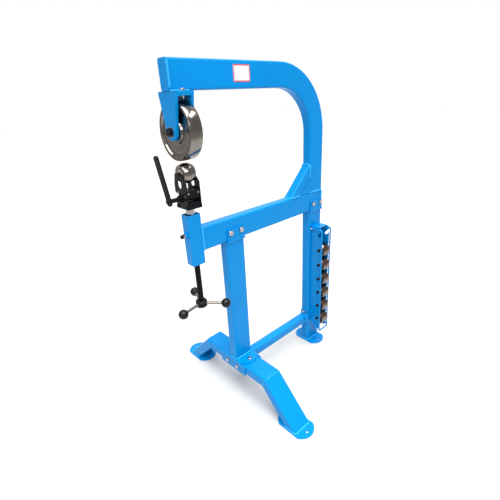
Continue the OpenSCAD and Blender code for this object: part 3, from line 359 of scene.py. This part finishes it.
# Upper wheel. A steel wheel turned all over, with a recessed face, a rim lip and a hub boss, its tread
# ground and polished. It turns on a ball bearing in each side.
BRIGHT = (0.145, 0.13, 0.12), (0.29, 0.265, 0.245)
SOFT_EDGE = 0.0006
RUN_FIT = 0.00005
BEARING_WIDE = 0.014
BEARING_LIP = 0.003
HUB_R = 0.042
HUB_TAPER = 0.002
WEB_IN = 0.008
RIM_LIP = 0.011
RIM_TAPER = 0.003
# The broken edges of the rim: how far along the radius, and how far along the axle.
LIP_BREAK = 0.002, 0.001
TREAD_BREAK = 0.0005, 0.0012


def split(place):
    """The x, y and z of a place, as three wires."""
    parts = place.node("ShaderNodeSeparateXYZ", {}, {0: place})
    return [Wire(socket) for socket in parts.socket.node.outputs]


def polished(name, centre, shades):
    """Polished steel with the fine rings that turning left round an x axis through the centre."""
    made, place = new_finish(name, Metallic=1.0)
    x, y, z = split(place)
    aside = y - centre.y
    above = z - centre.z
    radius = x.math("SQRT", aside * aside + above * above)
    one_way = {"noise_dimensions": "1D"}
    rings = x.node(
        "ShaderNodeTexNoise", one_way, {"W": radius * 900.0 + x * 1400.0, "Scale": 1.0, "Detail": 2.0}
    )
    broad = x.node("ShaderNodeTexNoise", one_way, {"W": radius * 60.0 + x * 90.0, "Scale": 1.0})
    shade_between(*shades, broad).feed("Base Color")
    (0.07 + 0.12 * rings + 0.05 * grain(place, 25.0)).feed("Roughness")
    relief(rings, 0.000012)
    return made


def turned(name, centre, profile, segments):
    """A ring round a level x axis, extruded and scaled through each (radius, x) point, then closed."""
    radius, x = profile[0]
    bpy.ops.mesh.primitive_circle_add(
        vertices=segments, radius=radius, location=(centre.x + x, centre.y, centre.z),
        rotation=(0, math.pi / 2, 0),
    )
    piece = bpy.context.object
    bpy.ops.object.transform_apply(location=True, rotation=True, scale=True)
    bpy.ops.object.mode_set(mode="EDIT")
    bpy.ops.mesh.select_mode(type="VERT")
    bpy.ops.mesh.select_all(action="SELECT")
    for next_radius, next_x in [*profile[1:], profile[0]]:
        bpy.ops.mesh.extrude_region_move(TRANSFORM_OT_translate={"value": (next_x - x, 0, 0)})
        share = next_radius / radius
        bpy.ops.transform.resize(
            value=(1, share, share), center_override=(centre.x + next_x, centre.y, centre.z)
        )
        radius, x = next_radius, next_x
    bpy.ops.mesh.select_all(action="SELECT")
    bpy.ops.mesh.remove_doubles(threshold=0.00001)
    bpy.ops.mesh.normals_make_consistent(inside=False)
    bpy.ops.object.mode_set(mode="OBJECT")
    piece.name = name
    soften = piece.modifiers.new("soften", "BEVEL")
    soften.width = SOFT_EDGE
    soften.segments = 3
    soften.limit_method = "ANGLE"
    soften.angle_limit = math.radians(25)
    bpy.ops.object.modifier_apply(modifier="soften")
    bpy.ops.object.shade_smooth_by_angle(angle=math.radians(40))
    piece.select_set(False)
    return piece


half_w = (wheel_hi.x - wheel_lo.x) / 2
tread_r = (wheel_hi.z - wheel_lo.z) / 2
lip_r = tread_r - RIM_LIP
bearing_lo, bearing_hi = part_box("wheel_bearings")
pocket_r = (bearing_hi.z - bearing_lo.z) / 2 + RUN_FIT
wheel_face = [
    (pocket_r - BEARING_LIP, half_w - BEARING_WIDE), (pocket_r, half_w - BEARING_WIDE), (pocket_r, half_w),
    (HUB_R, half_w), (HUB_R + HUB_TAPER, half_w - WEB_IN), (lip_r - RIM_TAPER, half_w - WEB_IN),
    (lip_r, half_w - LIP_BREAK[1]), (lip_r + LIP_BREAK[0], half_w),
    (tread_r - TREAD_BREAK[0], half_w), (tread_r, half_w - TREAD_BREAK[1]),
]
upper_wheel = turned("top_wheel", wheel_mid, wheel_face + [(r, -x) for r, x in reversed(wheel_face)], 200)
upper_wheel.data.materials.append(polished("wheel_polish", wheel_mid, BRIGHT))
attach(upper_wheel, "top_wheel")
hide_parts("upper_wheel")


# Anvil wheels: the one in the cradle and the six spares in the rack. Steel, each turned to another crown,
# with a pocket for a bearing and a shallow ring groove in each face. The spares are oiled, so darker.
OILED = (0.11, 0.082, 0.068), (0.23, 0.18, 0.152)
CROWNS = {
    "anvil_wheel": 0.051, "spare_anvil_1": 0.075, "spare_anvil_2": 0.100, "spare_anvil_3": 0.150,
    "spare_anvil_4": 0.200, "spare_anvil_5": 0.300, "spare_anvil_6": 0.900,
}
CROWN_STEPS = 20
ANVIL_POCKET = 0.01755
ANVIL_BEARING_WIDE = 0.011
EDGE_BREAK = 0.0004
# The groove's section: how far beyond the pocket and how deep below the face.
GROOVE = (0.0035, 0), (0.0045, 0.001), (0.0080, 0.001), (0.0090, 0)
for node, crown in CROWNS.items():
    in_cradle = node == "anvil_wheel"
    anvil_lo, anvil_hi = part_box(node)
    anvil_mid = (anvil_lo + anvil_hi) / 2
    anvil_r = (anvil_hi.z - anvil_lo.z) / 2
    anvil_half = (anvil_hi.x - anvil_lo.x) / 2
    edge_x = anvil_half - EDGE_BREAK
    tread_x = [edge_x - 2 * edge_x * i / CROWN_STEPS for i in range(CROWN_STEPS + 1)]
    tread = [(anvil_r - crown + math.sqrt(crown**2 - x**2), x) for x in tread_x]
    anvil_face = [
        (ANVIL_POCKET - BEARING_LIP, anvil_half - ANVIL_BEARING_WIDE),
        (ANVIL_POCKET, anvil_half - ANVIL_BEARING_WIDE), (ANVIL_POCKET, anvil_half),
        *((ANVIL_POCKET + beyond, anvil_half - below) for beyond, below in GROOVE),
        (tread[0][0] - EDGE_BREAK, anvil_half),
    ]
    profile = anvil_face + tread + [(r, -x) for r, x in reversed(anvil_face)]
    anvil = turned(node + "_turned", anvil_mid, profile, 128)
    anvil.data.materials.append(polished(node + "_polish", anvil_mid, BRIGHT if in_cradle else OILED))
    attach(anvil, "anvil" if in_cradle else node.replace("anvil_", ""))
    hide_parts(node)


# Bearings of the upper wheel, the anvil and the spares. Sealed ball bearings, one in each side of a wheel.
# Each is one ring with a shallow recess where its seal is, shown as ground steel all over.
race_steel, place = new_finish("race_steel", Metallic=1.0)
shade_between((0.42, 0.42, 0.42), (0.58, 0.58, 0.57), grain(place, 120.0)).feed("Base Color")
(0.20 + 0.12 * grain(place, 300.0)).feed("Roughness")
relief(grain(place, 1500.0, 1.0), 0.00001)
coat_nodes(race_steel, "wheel_bearings", "spare_bearings", "anvil_bearings")


# Black steel: axles, guide bolt, lift block, cradle, cam shaft with its bush, release lever, lifting
# screw and hub. Chemically blackened and oiled, so it is satin, with faint paler rub marks and streaks.
black_oxide, place = new_finish("black_oxide", Metallic=0.4, Specular_IOR_Level=0.18)
rub = grain(place, 90.0, 5.0)
upright = place.node("ShaderNodeMapping", {}, {"Vector": place, "Scale": (900.0, 900.0, 60.0)})
streaks = grain(upright, 1.0, 2.0)
shade_between((0.002, 0.0025, 0.0035), (0.011, 0.012, 0.016), rub).feed("Base Color")
(0.28 + 0.22 * streaks).feed("Roughness")
relief(streaks, 0.00003)
coat_nodes(
    black_oxide, "lift_nut", "guide_bolt", "wheel_axle", "spare_axles", "cradle_base", "base_screws",
    "handle_hub", "yoke_plates", "yoke_block", "cam_bush", "anvil_axle", "cam_shaft", "release_lever",
)


# Ram. A round bar, ground and hard-chromed, that slides in the socket's bushes and carries the cradle. It
# is mirror bright, with faint marks along it.
hard_chrome, place = new_finish("hard_chrome", Metallic=1.0)
marks = place.node("ShaderNodeMapping", {}, {"Vector": place, "Scale": (400.0, 400.0, 20.0)})
shade_between((0.50, 0.51, 0.52), (0.62, 0.62, 0.63), grain(place, 30.0)).feed("Base Color")
(0.04 + 0.07 * grain(marks, 1.0)).feed("Roughness")
coat_nodes(hard_chrome, "ram")


# Guide bushes of the ram. Two plain bronze blocks fitted inside the socket and bored for the ram, one
# near the socket's mouth and one round the ram's lower end.
bush_bronze, place = new_finish("bush_bronze", Metallic=1.0)
shade_between((0.50, 0.30, 0.12), (0.66, 0.42, 0.19), grain(place, 80.0)).feed("Base Color")
(0.28 + 0.15 * grain(place, 250.0)).feed("Roughness")
coat_nodes(bush_bronze, "guide_bushes")


# Lifting screw. A blackened bar with a trapezoid thread cut along all of it, from the hub up into the
# threaded block, and a plain round tip that the ram rests on.
SCREW_LEAD = 0.004
THREAD_DEEP = 0.0017
THREAD_LAP = 0.0004
ROOT_SHARE = 0.80
CREST_SHARE = 0.5
THREAD_START = 0.004
THREAD_SPARE = 0.006
TIP_LEN = 0.015
TIP_R = 0.007
screw_lo, screw_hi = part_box("lift_screw")
screw_r = (screw_hi.x - screw_lo.x) / 2
core_r = screw_r - THREAD_DEEP
screw_x = (screw_lo.x + screw_hi.x) / 2
screw_y = (screw_lo.y + screw_hi.y) / 2
shoulder = screw_hi.z - TIP_LEN
hub_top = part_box("handle_hub")[1].z
turns = int((shoulder - hub_top - THREAD_SPARE) / SCREW_LEAD)
ridge = THREAD_DEEP + THREAD_LAP
bpy.ops.mesh.primitive_plane_add(
    size=1, rotation=(math.pi / 2, 0, 0), location=(screw_r - ridge / 2, 0, 0)
)
thread = bpy.context.object
thread.scale = (ridge, SCREW_LEAD * ROOT_SHARE, 1)
bpy.ops.object.transform_apply(location=True, rotation=True, scale=True)
for corner in thread.data.vertices:
    if corner.co.x > screw_r - THREAD_DEEP / 2:
        corner.co.z *= CREST_SHARE
bpy.ops.object.mode_set(mode="EDIT")
bpy.ops.mesh.select_all(action="SELECT")
bpy.ops.mesh.delete(type="ONLY_FACE")
bpy.ops.object.mode_set(mode="OBJECT")
coil = thread.modifiers.new("coil", "SCREW")
coil.axis = "Z"
coil.angle = math.tau
coil.screw_offset = SCREW_LEAD
coil.iterations = turns
coil.steps = coil.render_steps = 32
coil.use_merge_vertices = False
bpy.ops.object.modifier_apply(modifier="coil")
bpy.ops.object.mode_set(mode="EDIT")
bpy.ops.mesh.select_all(action="SELECT")
bpy.ops.mesh.fill_holes(sides=6)
bpy.ops.mesh.select_all(action="SELECT")
bpy.ops.mesh.normals_make_consistent(inside=False)
bpy.ops.object.mode_set(mode="OBJECT")
thread.location = (screw_x, screw_y, hub_top + THREAD_START)
bpy.ops.object.transform_apply(location=True, rotation=True, scale=True)
bpy.ops.mesh.primitive_cylinder_add(
    vertices=64, radius=core_r, depth=shoulder - screw_lo.z,
    location=(screw_x, screw_y, (shoulder + screw_lo.z) / 2),
)
core = bpy.context.object
bpy.ops.object.transform_apply(location=True, rotation=True, scale=True)
bpy.ops.object.mode_set(mode="EDIT")
bpy.ops.mesh.select_mode(type="FACE")
bpy.ops.mesh.select_all(action="DESELECT")
bpy.ops.object.mode_set(mode="OBJECT")
for face in core.data.polygons:
    face.select = face.normal.z > 0.9
bpy.ops.object.mode_set(mode="EDIT")
bpy.ops.mesh.inset(thickness=core_r - TIP_R)
bpy.ops.mesh.extrude_region_move(TRANSFORM_OT_translate={"value": (0, 0, TIP_LEN)})
bpy.ops.object.mode_set(mode="OBJECT")
lift_screw = join("threaded_screw", [thread, core])
lift_screw.select_set(True)
bpy.ops.object.shade_smooth_by_angle(angle=math.radians(35))
lift_screw.select_set(False)
lift_screw.data.materials.clear()
lift_screw.data.materials.append(black_oxide)
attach(lift_screw, "screw")
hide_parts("lift_screw")


# Ball knobs of the handle. Moulded in glossy black plastic, each bored to take the end of its rod. The
# moulding's skin waves a little.
gloss_black, place = new_finish("gloss_black", IOR=1.34)
shade_between((0.002, 0.002, 0.002), (0.006, 0.006, 0.007), grain(place, 35.0)).feed("Base Color")
(0.05 + 0.06 * grain(place, 120.0)).feed("Roughness")
relief(grain(place, 260.0, 1.0), 0.00003)
coat_nodes(gloss_black, "handle_balls")


# The handle's three rods. Cold-drawn steel bar left bare, a warmer and duller grey with a fine grain, each
# set in the hub.
drawn_steel, place = new_finish("drawn_steel", Metallic=1.0)
shade_between((0.16, 0.14, 0.12), (0.33, 0.30, 0.27), grain(place, 150.0, 4.0)).feed("Base Color")
(0.22 + 0.18 * grain(place, 400.0)).feed("Roughness")
relief(grain(place, 900.0, 1.0), 0.00002)
coat_nodes(drawn_steel, "handle_rods")


# Nuts, bolts and spacers of the saddles, base, tie bar, rack, bail, fork, upper wheel and cradle. Steel,
# zinc plated and passivated, so bright with a faint yellow and blue cast.
zinc, place = new_finish("bright_zinc", Metallic=1.0)
cast = grain(place, 70.0, 4.0)
shade_between((0.36, 0.37, 0.40), (0.60, 0.58, 0.53), cast).feed("Base Color")
(0.14 + 0.14 * grain(place, 500.0)).feed("Roughness")
relief(grain(place, 1200.0, 1.0), 0.00002)
coat_nodes(
    zinc, "guide_lock_nut", "fork_bolts", "wheel_spacers", "axle_nut", "saddle_bolts", "base_bolts",
    "tie_bolt", "rack_bolts", "bail_bolts", "yoke_screws",
)


# Studio. A plain pale floor, a broad soft light from above, three smaller ones and the camera. Floor and
# walls are darker at the sides and behind the camera, which bright steel reflects.

# The camera's level heading, then where the floor turns from dark to light, in metres along that heading,
# and where the walls do, as the share of a direction that lies along it.
VIEW_X, VIEW_Y = 0.665, 0.747
FLOOR_DARK, FLOOR_LIT = -4.2, -1.9
WALL_DARK, WALL_LIT = 0.22, 0.66
FLOOR_SIDE = 60
FLOOR_DROP = 0.0005
LIGHT_AIM = Vector((-0.3, 0, 1.1))


def smooth_step(value, low, high):
    """Runs softly from 0 to 1 as the value goes from low to high."""
    ease = {"interpolation_type": "SMOOTHSTEP"}
    return value.node("ShaderNodeMapRange", ease, {"Value": value, "From Min": low, "From Max": high})


floor_finish, place = new_finish("pale_floor", Roughness=0.9, IOR=1.2)
floor_x, floor_y, _ = split(place)
aside = floor_x * VIEW_Y - floor_y * VIEW_X
ahead = floor_x * VIEW_X + floor_y * VIEW_Y - aside.math("ABSOLUTE", aside)
floor_lit = smooth_step(ahead, FLOOR_DARK, FLOOR_LIT)
shade_between((0.26, 0.253, 0.245), (0.55, 0.55, 0.55), floor_lit).feed("Base Color")
bpy.ops.mesh.primitive_plane_add(size=FLOOR_SIDE, location=(0, 0, -FLOOR_DROP))
floor = bpy.context.object
floor.name = "studio_floor"
floor.data.materials.append(floor_finish)

world = bpy.data.worlds.new("studio")
bpy.context.scene.world = world
world.use_nodes = True
sky_x, sky_y, _ = split(Wire(world.node_tree.nodes.new("ShaderNodeTexCoord").outputs["Generated"]))
wall_lit = smooth_step(sky_x * VIEW_X + sky_y * VIEW_Y, WALL_DARK, WALL_LIT)
wall = shade_between((0.40, 0.385, 0.37), (1.0, 1.0, 1.0), wall_lit)
background = world.node_tree.nodes["Background"]
world.node_tree.links.new(wall.socket, background.inputs["Color"])
bpy.ops.object.light_add(type="SUN", location=(-0.5, -1.0, 4.0))
ceiling = bpy.context.object
ceiling.name = "ceiling_light"
ceiling.data.angle = math.radians(60)
ceiling.data.energy = 5.1
ceiling.rotation_euler = Vector((0.08, 0.20, -0.97)).to_track_quat("-Z", "Y").to_euler()
for name, spot, size, power in (
    ("window", (1.3, -1.1, 3.6), (1.6, 0.5), 20.0),
    ("left", (-3.6, -1.2, 2.4), (1.4, 1.8), 55.0),
    ("front", (-0.7, -2.3, 2.5), (1.2, 0.8), 32.0),
):
    bpy.ops.object.light_add(type="AREA", location=spot)
    light = bpy.context.object
    light.name = name + "_light"
    light.data.shape = "RECTANGLE"
    light.data.size, light.data.size_y = size
    light.data.energy = power
    aim = LIGHT_AIM - Vector(spot)
    light.rotation_euler = aim.to_track_quat("-Z", "Y").to_euler()

# The camera, fitted to the photograph: its place from the upper wheel's axis, its turns and its lens.
CAMERA_BEFORE_WHEEL = Vector((-0.70868, -1.13190, 0.0))
CAMERA_HEIGHT = 1.39079
TURN, TILT, ROLL = (math.radians(angle) for angle in (41.67, -23.19, -3.2))
LENS = 25.23
SENSOR = 36.0
forward = Vector((math.sin(TURN) * math.cos(TILT), math.cos(TURN) * math.cos(TILT), math.sin(TILT)))
level = Vector((math.cos(TURN), -math.sin(TURN), 0))
upward = level.cross(forward)
right = level * math.cos(ROLL) + upward * math.sin(ROLL)
above = upward * math.cos(ROLL) - level * math.sin(ROLL)
bpy.ops.object.camera_add()
camera = bpy.context.object
camera.name = "photo_camera"
camera_spot = Vector((wheel_mid.x, 0, CAMERA_HEIGHT)) + CAMERA_BEFORE_WHEEL
turned_to = Matrix((right, above, -forward)).transposed().to_4x4()
camera.matrix_world = Matrix.Translation(camera_spot) @ turned_to
camera.data.sensor_width = SENSOR
camera.data.lens = LENS
bpy.context.scene.camera = camera
bpy.context.scene.view_settings.view_transform = "Standard"
